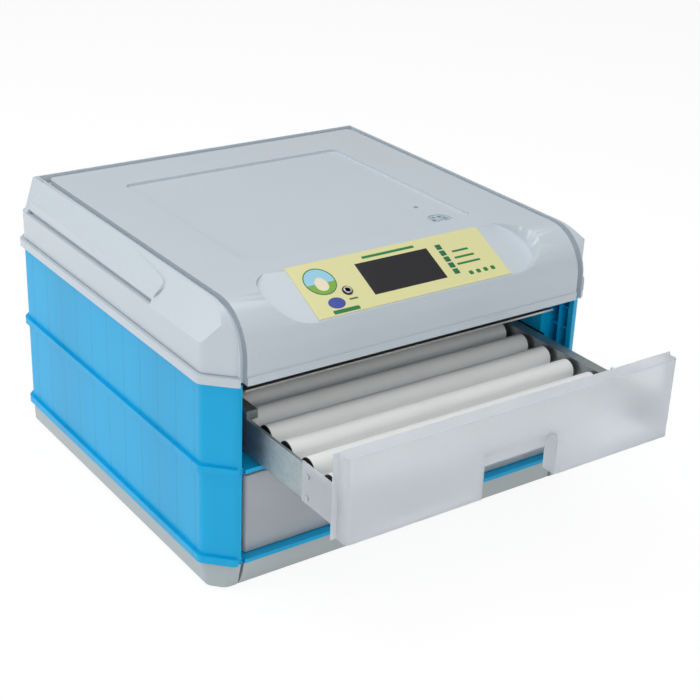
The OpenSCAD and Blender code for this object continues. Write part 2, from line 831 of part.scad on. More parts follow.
module drawer_front() {
    y1 = front_y + front_d;
    top = front_z + front_h;
    difference() {
        union() {
            difference() {
                union() {
                    // box with rounded front corners
                    translate([0, 0, front_z]) linear_extrude(front_h) polygon(rounded(
                        [[-front_half, front_y], [front_half, front_y], [front_half, y1], [-front_half, y1]], [5, 5, 0, 0]));
                    block([-flange_half, y1 - flange_t, front_z], [flange_half, y1, top]);
                }
                block([-front_half + front_wall, front_y + front_wall, front_z + front_wall],
                    [front_half - front_wall, y1 + 1, top - front_wall]);
            }
            // the handle's sleeve
            intersection() {
                along_drawer(front_y + front_wall / 2, y1) handle_outline(front_wall);
                block([-body_w, front_y, front_z], [body_w, y1, top]);
            }
            // ears that take the side rails
            both_sides() {
                block([rail_half + seat, y1 - 8, rail_z], [rail_half + seat + ear_t, bracket_end, ear_top]);
                block([rail_half + seat, y1 - 8, rail_z], [front_half - front_wall / 2, y1, ear_top]);
            }
        }
        difference() {
            along_drawer(front_y - 1, y1 + 1) handle_outline(0);
            // the wall behind the finger space
            block([-handle_w, y1 - front_wall, front_z + handle_h - 26], [handle_w, y1 + 2, top]);
        }
        both_sides() for (z = bracket_screw_z) translate([rail_half - 1, bracket_screw_y, z]) rotate([0, 90, 0])
            cylinder(h = 6, d = screw_shank + 2 * bore_gap);
    }
}

// Holes for the rollers' axles in a side rail's inner wall
module axle_holes(x0, x1) {
    for (i = [0 : rollers - 1]) translate([x0, roller_y0 + i * roller_pitch, roller_z]) rotate([0, 90, 0])
        cylinder(h = x1 - x0, d = axle_d + 2 * bore_gap);
}

module rail_screw_holes() {
    for (z = bracket_screw_z) translate([rail_half - sheet - 1, bracket_screw_y, z]) rotate([0, 90, 0])
        cylinder(h = sheet + 2, d = screw_shank + 2 * bore_gap);
}

// A side rail: outer sheet, top fold and inner sheet with the bearings, drawn on the right
module rail(fold) {
    top = rail_z + rail_h;
    difference() {
        union() {
            block([rail_half - sheet, rail_front_y, rail_z], [rail_half, rail_rear_y, top]);
            block([rail_half - fold, rail_front_y, top - sheet], [rail_half, rail_rear_y, top]);
            block([rail_half - fold, rail_front_y, rail_z + (fold > 10 ? 6 : 12)], [rail_half - fold + sheet, rail_rear_y, top]);
            // the runner block that rides in the guide
            block([rail_half - sheet / 2, rail_rear_y - runner_l, rail_z + 1], [guide_x - guide_gap, rail_rear_y - 2, rail_z + rail_h - 4]);
        }
        axle_holes(rail_half - fold - 1, rail_half - fold + sheet + 1);
        rail_screw_holes();
    }
}

module left_rail() {
    top = rail_z + rail_h;
    color([0.55, 0.58, 0.58]) mirror([1, 0, 0]) {
        rail(rail_fold_left);
        // the cover over the drive's end
        difference() {
            block([rail_half - cover_w, cover_front_y, top - sheet], [rail_half, rail_rear_y, top + cover_h]);
            block([rail_half - cover_w - 1, cover_front_y + sheet, top - 2 * sheet], [rail_half - sheet, rail_rear_y + 1, top + cover_h - sheet]);
        }
        // the boss that turns the chain at the front
        translate([sprocket_mid - sprocket_t / 2, roller_y0, drive_z]) rotate([0, 90, 0]) cylinder(h = rail_half - sprocket_mid - 1, d = drive_d - 1);
    }
}

module right_rail() { color([0.58, 0.61, 0.62]) rail(rail_fold); }

module rear_plate() {
    color([0.58, 0.6, 0.6]) difference() {
        block([-rail_half + rail_fold_left + seat, rail_rear_y - sheet, rail_z + 2], [rail_half - rail_fold - seat, rail_rear_y, rail_z + rail_h]);
        block([-sprocket_mid - 4, rail_rear_y - 5, rail_z], [-sprocket_mid + 4, rail_rear_y + 5, drive_z + drive_d / 2 + chain_t + 2]);
    }
}

// Outline of the drive chain's loop, grown outwards by grow
module chain_outline(grow) {
    r = drive_d / 2 + chain_gap + grow;
    y1 = motor_y;
    polygon(concat(
        [for (a = [90 : 15 : 270]) [roller_y0 + r * cos(a), drive_z + r * sin(a)]],
        [for (a = [-90 : 15 : 90]) [y1 + r * cos(a), drive_z + r * sin(a)]]
    ));
}

module drive_chain() {
    color([0.2, 0.2, 0.2]) translate([-sprocket_mid - 1.2, 0, 0]) rotate([90, 0, 90]) linear_extrude(2.4) difference() {
        chain_outline(chain_t);
        chain_outline(0);
    }
}

module toothed(d, teeth, t) {
    linear_extrude(t, center = true) union() {
        circle(d = d - 3);
        for (i = [0 : teeth - 1]) rotate(i * 360 / teeth) polygon([[0, -1.7], [d / 2 - 0.5, -0.6], [d / 2 - 0.5, 0.6], [0, 1.7]]);
    }
}

module drive_sprocket() {
    color([0.1, 0.1, 0.1]) translate([-sprocket_mid, motor_y, drive_z]) rotate([0, 90, 0]) {
        toothed(drive_d, drive_teeth, sprocket_t);
        cylinder(h = 12, d = shaft_d);
    }
}

module gear_motor() {
    x0 = -sprocket_mid + sprocket_t / 2 + 2;
    z = rail_z + rail_h / 2;
    color([0.62, 0.62, 0.6]) difference() {
        union() {
            translate([x0, motor_y, z]) rotate([0, 90, 0]) cylinder(h = gearbox_h, d = gearbox_d);
            translate([x0 + gearbox_h - 1, motor_y, z]) rotate([0, 90, 0]) cylinder(h = motor_l, d = motor_d);
            block([x0, rail_rear_y + seat, z - gearbox_d / 2], [x0 + gearbox_h, motor_y, z + gearbox_d / 2]);
        }
        translate([x0 - 1, motor_y, drive_z]) rotate([0, 90, 0]) cylinder(h = 12, d = shaft_d + 2 * bore_gap);
    }
}

module drawer_screws() {
    color([0.75, 0.75, 0.76]) both_sides() for (z = bracket_screw_z) translate([0, bracket_screw_y, z]) rotate([0, 90, 0]) {
        translate([0, 0, rail_half - sheet - 1]) cylinder(h = sheet + 1 + seat + ear_t + 0.1, d = screw_shank);
        translate([0, 0, rail_half + seat + ear_t]) difference() {
            cylinder(h = screw_h, d = screw_d);
            translate([0, 0, screw_h]) cube([screw_d - 1.5, 1, 1.6], center = true);
        }
    }
}

// A roller: a tube with two end caps on an axle, and a sprocket at the left
module roller(i) {
    axle_left = -rail_half + sheet + 0.6;
    axle_right = rail_half - rail_fold + sheet + 0.6;
    translate([0, roller_y0 + i * roller_pitch, roller_z]) rotate([0, 90, 0]) {
        color([0.93, 0.93, 0.92]) translate([0, 0, roller_left]) difference() {
            cylinder(h = roller_right - roller_left, d = roller_d);
            translate([0, 0, -1]) cylinder(h = roller_right - roller_left + 2, d = roller_d - 2 * roller_wall);
        }
        translate([0, 0, roller_left]) roller_cap();
        translate([0, 0, roller_right]) mirror([0, 0, 1]) roller_cap();
        color([0.7, 0.7, 0.7]) translate([0, 0, axle_left]) cylinder(h = axle_right - axle_left, d = axle_d);
        color([0.1, 0.1, 0.1]) translate([0, 0, -sprocket_mid]) difference() {
            toothed(sprocket_d, sprocket_teeth, sprocket_t);
            cylinder(h = 2 * sprocket_t, d = axle_d + 2 * bore_gap, center = true);
        }
    }
}

module roller_cap() {
    color([0.1, 0.1, 0.1]) difference() {
        union() {
            translate([0, 0, seat / 2]) cylinder(h = cap_t, d = roller_d - 2 * roller_wall - seat);
            translate([0, 0, -cap_lip]) cylinder(h = cap_lip - seat / 2, d = roller_d - 0.6);
            translate([0, 0, -cap_lip]) cylinder(h = cap_lip + 1, d = roller_d - 2 * roller_wall - seat);
        }
        cylinder(h = 4 * cap_t, d = axle_d + 2 * bore_gap, center = true);
    }
}

// ---- Slide guides ----

module slide_guides() {
    top = rail_z + rail_h;
    y0 = front_y + front_d + 2;
    color([0.1, 0.1, 0.11]) for (z = [base_h, upper_z]) translate([0, 0, z]) both_sides() {
        block([guide_x, y0, rail_z - guide_gap - guide_lip], [liner_in - seat / 2, liner_rear - 4, top - 1]);
        block([rail_half - 3, y0, rail_z - guide_gap - guide_lip], [guide_x + 0.5, liner_rear - 4, rail_z - guide_gap]);
        block([rail_half + 1.2, bracket_end + 3, top - 3 - seat], [guide_x + 0.5, liner_rear - 4, top - 1]);
    }
}

module guide_screws() {
    color([0.8, 0.8, 0.8]) for (z = [base_h, upper_z]) translate([0, 0, z]) both_sides()
        for (screw_z = guide_screw_z) translate([guide_x, front_y + front_d + 8, screw_z]) rotate([0, 90, 0])
            translate([0, 0, -1.2]) cylinder(h = 1.2, d = 5);
}

// ---- Nodes ----

base_tray();
base_feet();
water_tray();
lower_tier();
upper_tier();
slide_guides();
guide_screws();
lid_frame();
hood();
vent_dial();
power_inlet();
control_label();
display_window();
dc_jack();
main_board();
heater_plate();
heating_coil();
fan_housing();
fan_rotor();
sensor_probe();
button(0);  // button_1
button(1);  // button_2
button(2);  // button_3
button(3);  // button_4
button(4);  // button_5
drawer(upper_z, drawer_open) drawer_front();  // upper_front
drawer(upper_z, drawer_open) left_rail();  // upper_left_rail
drawer(upper_z, drawer_open) right_rail();  // upper_right_rail
drawer(upper_z, drawer_open) rear_plate();  // upper_rear_plate
drawer(upper_z, drawer_open) gear_motor();  // upper_gear_motor
drawer(upper_z, drawer_open) drive_sprocket();  // upper_drive_sprocket
drawer(upper_z, drawer_open) drive_chain();  // upper_drive_chain
drawer(upper_z, drawer_open) drawer_screws();  // upper_screws
drawer(upper_z, drawer_open) roller(0);  // upper_roller_1
drawer(upper_z, drawer_open) roller(1);  // upper_roller_2
drawer(upper_z, drawer_open) roller(2);  // upper_roller_3
drawer(upper_z, drawer_open) roller(3);  // upper_roller_4
drawer(upper_z, drawer_open) roller(4);  // upper_roller_5
drawer(upper_z, drawer_open) roller(5);  // upper_roller_6
drawer(upper_z, drawer_open) roller(6);  // upper_roller_7
drawer(upper_z, drawer_open) roller(7);  // upper_roller_8
drawer(upper_z, drawer_open) roller(8);  // upper_roller_9
drawer(base_h, 0) drawer_front();  // lower_front
drawer(base_h, 0) left_rail();  // lower_left_rail
drawer(base_h, 0) right_rail();  // lower_right_rail
drawer(base_h, 0) rear_plate();  // lower_rear_plate
drawer(base_h, 0) gear_motor();  // lower_gear_motor
drawer(base_h, 0) drive_sprocket();  // lower_drive_sprocket
drawer(base_h, 0) drive_chain();  // lower_drive_chain
drawer(base_h, 0) drawer_screws();  // lower_screws
drawer(base_h, 0) roller(0);  // lower_roller_1
drawer(base_h, 0) roller(1);  // lower_roller_2
drawer(base_h, 0) roller(2);  // lower_roller_3
drawer(base_h, 0) roller(3);  // lower_roller_4
drawer(base_h, 0) roller(4);  // lower_roller_5
drawer(base_h, 0) roller(5);  // lower_roller_6
drawer(base_h, 0) roller(6);  // lower_roller_7
drawer(base_h, 0) roller(7);  // lower_roller_8
drawer(base_h, 0) roller(8);  // lower_roller_9
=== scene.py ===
"""Looks of a two-drawer egg incubator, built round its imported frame."""

import math

import bmesh
import bpy
from bpy.props import FloatProperty, FloatVectorProperty, PointerProperty
from mathutils import Matrix, Vector


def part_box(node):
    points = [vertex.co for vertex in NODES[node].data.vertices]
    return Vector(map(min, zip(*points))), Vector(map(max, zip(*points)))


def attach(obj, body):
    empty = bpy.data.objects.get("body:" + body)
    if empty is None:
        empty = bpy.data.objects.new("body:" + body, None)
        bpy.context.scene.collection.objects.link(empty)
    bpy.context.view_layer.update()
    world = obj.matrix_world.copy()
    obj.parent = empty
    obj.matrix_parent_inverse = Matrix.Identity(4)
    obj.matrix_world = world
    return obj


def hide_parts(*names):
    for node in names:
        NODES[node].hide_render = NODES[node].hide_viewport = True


bl_info = {
    "name": "Egg Incubator",
    "version": (1, 0, 0),
    "blender": (4, 5, 0),
    "location": "View3D > Sidebar > Incubator",
    "description": "Builds the looks of a two-drawer egg incubator round its frame",
    "category": "Object",
}

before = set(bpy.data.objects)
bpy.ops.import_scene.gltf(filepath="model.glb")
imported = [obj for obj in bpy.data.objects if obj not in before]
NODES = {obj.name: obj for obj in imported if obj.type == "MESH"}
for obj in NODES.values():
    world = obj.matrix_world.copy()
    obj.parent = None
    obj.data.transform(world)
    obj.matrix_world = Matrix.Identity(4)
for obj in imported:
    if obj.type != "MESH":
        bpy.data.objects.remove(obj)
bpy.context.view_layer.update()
TIERS = ("lower", "upper")
ROLLERS = 9
BUTTONS = 5

# How meshes are cleaned, rounded and shaded
CAD_WELD = 0.000002
TURNED_WELD = 0.000001
FLAT_ANGLE = math.radians(0.4)
SOFTEN_ANGLE = math.radians(35)
SHADE_ANGLE = math.radians(32)
FACE_SHARE = 2.5  # a face has to be this many times wider than the rounding beside it

# The ribs behind the tiers' side walls, along y, and the half width they start to show at
RIB_PITCH = 0.041
RIB_FIRST = -0.2115
SIDE_WALL = (0.262, 0.2645)

# Rollers: tube from left to right, its wall, its round end, and the axle's radius
TUBE_ENDS = (-0.200, 0.192)
TUBE_WALL = 0.0016
ROUND_END = 0.0004
AXLE_RADIUS = 0.0025
AXLE_BORE = 0.00262

# Ink on the overlay: heights over the panel's plane
INK_LOW, INK_HIGH = 0.00055, 0.00072
EGG_RISE = 0.00012

# The camera: where it stands, its turn, downward look and roll in degrees, and its lens
CAMERA_SPOT = (-0.93496, -1.4149, 0.9347)
CAMERA_TURN = (-35.78, 25.19, 2.43)
CAMERA_LENS = 75.72

# The sloping plane of the control panel: x to the right, y up the slope, z outwards
PANEL_TILT = math.radians(25.9)
PANEL = Matrix.Translation((0, -0.209, 0.3172)) @ Matrix.Rotation(PANEL_TILT, 4, "X")


def tint(red, green, blue):
    """A display colour of 0 to 255 as the linear colour that a shader takes."""
    return tuple(
        c / 255 / 12.92 if c <= 10 else ((c / 255 + 0.055) / 1.055) ** 2.4
        for c in (red, green, blue)
    )


# ---- Shader values ----


class Wire:
    """A socket that Python expressions can work on."""

    def __init__(self, paint, socket):
        self.paint = paint
        self.socket = socket

    def _maths(self, operation, *values):
        return self.paint.node("ShaderNodeMath", {"operation": operation}, values)

    def __add__(self, other):
        return self._maths("ADD", self, other)

    __radd__ = __add__

    def __mul__(self, other):
        return self._maths("MULTIPLY", self, other)

    def __sub__(self, other):
        return self._maths("SUBTRACT", self, other)

    def __rsub__(self, other):
        return self._maths("SUBTRACT", other, self)

    def size(self):
        """The value without its sign."""
        return self._maths("ABSOLUTE", self)

    def larger(self, other):
        return self._maths("MAXIMUM", self, other)

    def ping(self, step):
        """Distance to the nearest even multiple of step."""
        return self._maths("PINGPONG", self, step)

    def rise(self, low, high):
        """0 below low, 1 above high, and a smooth slope between."""
        return self.paint.node(
            "ShaderNodeMapRange",
            {"interpolation_type": "SMOOTHSTEP", "clamp": True},
            {"Value": self, "From Min": low, "From Max": high},
        )

    def axis(self, name):
        """One part of a vector: X, Y or Z."""
        return self.paint.node("ShaderNodeSeparateXYZ", {}, [self], name)


class Paint:
    """A material with the nodes that colour it."""

    def __init__(self, name, **fixed):
        self.material = bpy.data.materials.new(name)
        self.material.use_nodes = True
        self.tree = self.material.node_tree
        self.shader = self.tree.nodes["Principled BSDF"]
        for socket, value in fixed.items():
            self.shader.inputs[socket.replace("_", " ")].default_value = value

    def node(self, kind, settings=None, values=(), out=0):
        """Adds one node: its settings first, then what its sockets take."""
        made = self.tree.nodes.new(kind)
        for key, value in (settings or {}).items():
            if key == "stops":
                self._stops(made.color_ramp, value)
            else:
                setattr(made, key, value)
        pairs = values.items() if isinstance(values, dict) else enumerate(values)
        for key, value in pairs:
            self.feed(value, made.inputs[key])
        return Wire(self, made.outputs[out])

    @staticmethod
    def _stops(ramp, stops):
        while len(ramp.elements) < len(stops):
            ramp.elements.new(1)
        for element, (place, colour) in zip(ramp.elements, stops):
            element.position = place
            element.color = (*colour, 1)

    def feed(self, value, socket):
        if isinstance(value, Wire):
            self.tree.links.new(value.socket, socket)
        elif isinstance(value, tuple) and len(value) == 3 and socket.type == "RGBA":
            socket.default_value = (*value, 1)
        else:
            socket.default_value = value

    def place(self, turn=(0, 0, 0), scale=(1, 1, 1)):
        """The point on the object, in metres, turned and scaled."""
        point = self.node("ShaderNodeTexCoord", {}, (), "Object")
        if turn == (0, 0, 0) and scale == (1, 1, 1):
            return point
        return self.node(
            "ShaderNodeMapping", {}, {"Vector": point, "Rotation": turn, "Scale": scale}
        )

    def cloud(self, scale, detail=2.0, rough=0.5, point=None):
        """Soft noise from 0 to 1, with so many features per metre."""
        return self.node(
            "ShaderNodeTexNoise",
            {},
            {
                "Vector": point or self.place(),
                "Scale": scale,
                "Detail": detail,
                "Roughness": rough,
            },
        )

    def blend(self, mask, low, high):
        """The colour low where mask is 0 and high where it is 1."""
        mixed = self.tree.nodes.new("ShaderNodeMix")
        mixed.data_type = "RGBA"
        for name, value in (("Factor_Float", mask), ("A_Color", low), ("B_Color", high)):
            self.feed(value, next(i for i in mixed.inputs if i.identifier == name))
        shown = next(o for o in mixed.outputs if o.identifier == "Result_Color")
        return Wire(self, shown)

    def colour(self, value):
        self.feed(value, self.shader.inputs["Base Color"])
        return self

    def roughness(self, value):
        self.feed(value, self.shader.inputs["Roughness"])
        return self

    def bump(self, height, depth):
        """Raises the surface by height, where 1 is so many metres."""
        normal = self.node(
            "ShaderNodeBump", {}, {"Strength": 1.0, "Distance": depth, "Height": height}
        )
        self.feed(normal, self.shader.inputs["Normal"])
        return self


def shades(colour, spread):
    """A colour a little darker and a little lighter."""
    return tuple(
        tuple(min(1, c * k) for c in colour) for k in (1 - spread, 1 + spread)
    )


# ---- Finishes ----


def moulded(name, colour, roughness=0.34, spread=0.02, grain=0.000012, coat=0.15):
    """Injection-moulded plastic: faint clouds of tone, a fine grain and a soft gloss."""
    paint = Paint(name, Coat_Roughness=0.12, Coat_Weight=coat)
    broad = paint.cloud(7)
    fine = paint.cloud(900, 3)
    paint.colour(paint.blend(broad, *shades(colour, spread)))
    paint.roughness(roughness - 0.05 + broad * 0.06 + fine * 0.05)
    return paint.bump(fine, grain)


def tier_plastic(name, colour):
    """Blue wall plastic, with the faint sink lines of the ribs behind the skin: dented by a
    bump and darkened with painted shade.
    """
    paint = Paint(name, Specular_IOR_Level=0.35)
    point = paint.place()
    along = point.axis("Y") - (RIB_FIRST - 20 * RIB_PITCH)
    rib_dent_and_shade = 1 - along.ping(RIB_PITCH / 2).rise(0.0006, 0.0024)
    side = point.axis("X").size().rise(*SIDE_WALL)
    drag = paint.cloud(9, 3, point=paint.place(scale=(1, 1, 0.08)))
    fine = paint.cloud(900, 3)
    dark, light = shades(colour, 0.05)
    base = paint.blend(drag.rise(0.3, 0.7), dark, light)
    # Painted shade: the side walls' colour is drawn darker along the rib sink lines, as well
    # as being dented by the bump below.
    ribs_with_painted_shade = paint.blend(rib_dent_and_shade * side * 0.35, base, tuple(c * 0.72 for c in colour))
    paint.colour(ribs_with_painted_shade)
    paint.roughness(0.33 + drag * 0.08)
    return paint.bump(fine * 0.15 - rib_dent_and_shade * side, 0.00008)


def sheet_steel(name, colour, roughness=0.38, turn=0.0):
    """Zinc-coated sheet: rolled streaks over soft spangle."""
    paint = Paint(name, Metallic=0.9)
    rolled = paint.cloud(40, 4, point=paint.place(turn=(0, 0, turn), scale=(12, 0.6, 12)))
    spangle = paint.node(
        "ShaderNodeTexVoronoi", {"feature": "F1"}, {"Vector": paint.place(), "Scale": 160.0}
    )
    dull, bright = shades(colour, 0.1)
    tone = (rolled * 0.7 + spangle * 0.5).rise(0.2, 0.9)
    paint.colour(paint.blend(tone, dull, bright))
    paint.roughness(roughness - 0.08 + rolled * 0.2)
    return paint.bump(rolled, 0.00002)


def turned_steel(name, colour, roughness=0.3):
    """Plated round stock and screws."""
    paint = Paint(name, Metallic=1.0)
    marks = paint.cloud(500, 3)
    paint.colour(paint.blend(marks, *shades(colour, 0.08)))
    paint.roughness(roughness - 0.06 + marks * 0.15)
    return paint.bump(marks, 0.00001)


def milky(name, colour):
    """Clear-cast plastic that light passes through, but shapes only dimly."""
    paint = Paint(
        name, Transmission_Weight=0.66, IOR=1.45, Coat_Weight=0.1, Coat_Roughness=0.1
    )
    flow = paint.cloud(14, 3, point=paint.place(scale=(0.35, 1, 1)))
    fine = paint.cloud(700, 2)
    paint.colour(paint.blend(flow, *shades(colour, 0.02)))
    paint.roughness(0.39 + flow * 0.06)
    return paint.bump(fine, 0.00001)


def rubbery(name, colour):
    """Dull rubber with a mealy grain."""
    paint = Paint(name, Specular_IOR_Level=0.3)
    fine = paint.cloud(1500, 4)
    paint.colour(paint.blend(fine, *shades(colour, 0.2)))
    paint.roughness(0.7 + fine * 0.15)
    return paint.bump(fine, 0.00005)


def tube_plastic(name, colour):
    """Extruded tube: matt, with fine lines along its length and a little handling dust."""
    paint = Paint(name)
    drawn = paint.cloud(60, 3, point=paint.place(scale=(0.05, 14, 14)))
    dust = paint.cloud(22, 4, 0.6)
    clean, soiled = colour, tuple(c * k for c, k in zip(colour, (0.93, 0.925, 0.9)))
    paint.colour(paint.blend(dust.rise(0.5, 0.85) * 0.6 + drawn * 0.2, clean, soiled))
    paint.roughness(0.5 + drawn * 0.12)
    return paint.bump(drawn, 0.00002)


def board_print(name, colour):
    """Lacquered circuit board with copper runs under the mask."""
    paint = Paint(name, Coat_Weight=0.3)
    runs = paint.node(
        "ShaderNodeTexBrick",
        {"offset": 0.5},
        {"Vector": paint.place(), "Scale": 90.0, "Mortar Size": 0.06},
        "Fac",
    )
    paint.colour(paint.blend(runs, colour, tuple(min(1, c * 1.8) for c in colour)))
    paint.roughness(0.35 + runs * 0.1)
    return paint.bump(runs, 0.00003)


def smoked(name, colour):
    """The display's dark window, with a slightly greyer panel behind it."""
    paint = Paint(name, Coat_Weight=0.6, Coat_Roughness=0.05)
    depth = paint.cloud(5, 1)
    paint.colour(paint.blend(depth, *shades(colour, 0.3)))
    paint.roughness(0.12 + depth * 0.05)
    return paint


def ceramic_rod(name, colour):
    """Heating rod, straw to brown where it has run hot."""
    paint = Paint(name, Metallic=0.8)
    heat = paint.cloud(35, 3)
    paint.colour(paint.blend(heat, colour, (0.22, 0.13, 0.08)))
    paint.roughness(0.45 + heat * 0.15)
    return paint.bump(paint.cloud(800), 0.00003)


# ---- Meshes ----


def made(name, shape, material, body, slot, nodes=()):
    """Turns a bmesh into a finished piece on its body, in place of any CAD nodes."""
    mesh = bpy.data.meshes.new(name)
    shape.to_mesh(mesh)
    shape.free()
    mesh.shade_smooth()
    mesh.set_sharp_from_angle(angle=SHADE_ANGLE)
    mesh.materials.append(material)
    piece = bpy.data.objects.new(name, mesh)
    bpy.context.scene.collection.objects.link(piece)
    even = piece.modifiers.new("even_shading", "WEIGHTED_NORMAL")
    even.keep_sharp = True
    even.weight = 80
    if nodes:
        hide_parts(*nodes)
    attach(piece, body)
    return piece


def cad_shape(node):
    """A CAD node's solid as a bmesh of whole faces."""
    shape = bmesh.new()
    shape.from_mesh(NODES[node].data)
    shape.verts.ensure_lookup_table()
    bmesh.ops.remove_doubles(shape, verts=shape.verts, dist=CAD_WELD)
    bmesh.ops.dissolve_limit(
        shape, angle_limit=FLAT_ANGLE, verts=shape.verts, edges=shape.edges
    )
    return shape


def soften(shape, width, least):
    """Rounds the long sharp edges whose faces are wide enough for it."""
    chosen = []
    for edge in shape.edges:
        length = edge.calc_length()
        if len(edge.link_faces) != 2 or length < least:
            continue
        if edge.calc_face_angle(0) < SOFTEN_ANGLE:
            continue
        if min(f.calc_area() for f in edge.link_faces) / length > FACE_SHARE * width:
            chosen.append(edge)
    if chosen:
        bmesh.ops.bevel(
            shape,
            geom=chosen,
            offset=width,
            affect="EDGES",
            segments=2,
            profile=0.5,
            clamp_overlap=True,
            material=-1,
        )


def copied(name, node, material, body, slot, width=0.0, least=0.004):
    """A CAD node's own shape, with softened edges and a finish."""
    shape = cad_shape(node)
    if width:
        soften(shape, width, least)
    return made(name, shape, material, body, slot, (node,))


def turned_at(profile, place, steps=40):
    """A profile of (radius, height) points spun about z into a closed solid."""
    shape = bmesh.new()
    points = [shape.verts.new((max(r, 0.0), 0, z)) for r, z in profile]
    edges = [shape.edges.new(pair) for pair in zip(points, points[1:])]
    bmesh.ops.spin(
        shape, geom=points + edges, cent=(0, 0, 0), axis=(0, 0, 1), dvec=(0, 0, 0),
        angle=math.tau, steps=steps, use_merge=True, use_duplicate=False,
    )
    bmesh.ops.remove_doubles(shape, verts=shape.verts, dist=TURNED_WELD)
    bmesh.ops.recalc_face_normals(shape, faces=shape.faces)
    bmesh.ops.transform(shape, matrix=place, verts=shape.verts)
    return shape


def joined(*shapes):
    """Several bmeshes as one."""
    whole = bmesh.new()
    for shape in shapes:
        mesh = bpy.data.meshes.new("part")
        shape.to_mesh(mesh)
        shape.free()
        whole.from_mesh(mesh)
        bpy.data.meshes.remove(mesh)
    return whole


def band_of(outline, low, high, place, hole=None):
    """A plate of the given outline between two heights, with an optional hole outline."""
    shape = bmesh.new()

    def loop(points):
        verts = [shape.verts.new((x, y, low)) for x, y in points]
        return [shape.edges.new((a, b)) for a, b in zip(verts, verts[1:] + verts[:1])]

    if hole:
        bmesh.ops.bridge_loops(shape, edges=loop(outline) + loop(hole))
    else:
        bmesh.ops.contextual_create(shape, geom=loop(outline))
    grown = bmesh.ops.extrude_face_region(shape, geom=shape.faces[:])
    top = [v for v in grown["geom"] if isinstance(v, bmesh.types.BMVert)]
    bmesh.ops.translate(shape, vec=(0, 0, high - low), verts=top)
    bmesh.ops.recalc_face_normals(shape, faces=shape.faces)
    bmesh.ops.transform(shape, matrix=place, verts=shape.verts)
    return shape


def oval(half_x, half_y, centre=(0, 0), count=48):
    """Points of an ellipse."""
    return [
        (centre[0] + half_x * math.cos(a), centre[1] + half_y * math.sin(a))
        for a in (math.tau * i / count for i in range(count))
    ]


def rounded_box(half_x, half_y, radius, centre):
    """Points of a rectangle with round corners."""
    points = []
    steps = 6
    for corner, (sx, sy) in enumerate(((1, 1), (-1, 1), (-1, -1), (1, -1))):
        for i in range(steps + 1):
            a = math.pi / 2 * (corner + i / steps)
            points.append((
                centre[0] + sx * (half_x - radius) + radius * math.cos(a),
                centre[1] + sy * (half_y - radius) + radius * math.sin(a),
            ))
    return points


# ---- Settings ----


def colour_setting(name, about, red, green, blue):
    return FloatVectorProperty(
        name=name, description=about, subtype="COLOR", size=3, min=0, max=1,
        default=tint(red, green, blue),
    )


def length_setting(name, about, value):
    return FloatProperty(
        name=name, description=about, default=value, min=0, unit="LENGTH", precision=5
    )


class INCUBATOR_PG_shell(bpy.types.PropertyGroup):
    base: colour_setting("Base", "Colour of the grey base", 176, 186, 188)
    tier: colour_setting("Tiers", "Colour of the blue walls", 0, 172, 226)
    lid: colour_setting("Lid", "Colour of the lid's plastic", 198, 208, 216)
    feet: colour_setting("Feet", "Colour of the rubber feet", 42, 42, 44)
    water: colour_setting("Water tray", "Colour of the water tray", 110, 190, 225)
    edge: length_setting("Edge radius", "Rounding of the shells' outer edges", 0.0009)


class INCUBATOR_PG_controls(bpy.types.PropertyGroup):
    film: colour_setting("Overlay", "Colour of the printed overlay", 222, 219, 160)
    ink: colour_setting("Ink", "Colour of the overlay's green print", 22, 122, 64)
    button: colour_setting("Buttons", "Colour of the buttons", 20, 110, 72)
    badge: colour_setting("Badge", "Colour of the plain oval badge", 52, 72, 160)
    window: colour_setting("Display", "Colour of the display's window", 20, 19, 26)
    socket: colour_setting("Sockets", "Colour of the sockets", 24, 24, 26)
    vent: colour_setting("Vent", "Colour of the vent's dial", 178, 196, 206)


class INCUBATOR_PG_drawers(bpy.types.PropertyGroup):
    front: colour_setting("Fronts", "Colour of the milky drawer fronts", 238, 242, 246)
    tube: colour_setting("Roller tubes", "Colour of the rollers' tubes", 240, 241, 240)
    cap: colour_setting("Roller caps", "Colour of the end caps", 22, 22, 24)
    rail: colour_setting("Rails", "Colour of the sheet-steel rails", 176, 184, 184)
    plate: colour_setting("Heater plate", "Colour of the heater plate", 184, 182, 178)
    screw: colour_setting("Screws", "Colour of the screws", 205, 205, 206)
    chain: colour_setting("Chain", "Colour of the chain and sprockets", 34, 34, 36)


class INCUBATOR_PG_stage(bpy.types.PropertyGroup):
    key: FloatProperty(
        name="Key light", description="Strength of the large lamp above", default=34.0,
        min=0, unit="POWER",
    )
    fill: FloatProperty(
        name="Fill light", description="Strength of the lamp at the front", default=20.0,
        min=0, unit="POWER",
    )
    rear: FloatProperty(
        name="Rear light", description="Strength of the lamp at the rear left",
        default=22.0, min=0, unit="POWER",
    )
    sky: FloatProperty(
        name="Room light", description="Strength of the light from all round",
        default=0.34, min=0, max=2, subtype="FACTOR",
    )


class Maker:
    """What the operators share."""

    bl_options = {"REGISTER", "UNDO"}

    @staticmethod
    def settings():
        scene = bpy.context.scene
        return scene.inc_shell, scene.inc_controls, scene.inc_drawers, scene.inc_stage

    def execute(self, context):
        self.build(*self.settings())
        return {"FINISHED"}


# ---- Body ----


class INCUBATOR_OT_base(Maker, bpy.types.Operator):
    """Grey base with its feet and the water tray"""

    bl_idname = "incubator.base"
    bl_label = "Base"

    def build(self, shell, controls, drawers, stage):
        grey = moulded("base_plastic", tuple(shell.base), 0.38)
        copied("base_shell", "base_tray", grey.material, "housing", "base_grey", shell.edge)
        rubber = rubbery("foot_rubber", tuple(shell.feet))
        copied("feet", "base_feet", rubber.material, "housing", "foot_rubber", 0.0003)
        blue = moulded("tray_plastic", tuple(shell.water), 0.25)
        copied("water_trough", "water_tray", blue.material, "housing", "tray_blue", 0.0006)


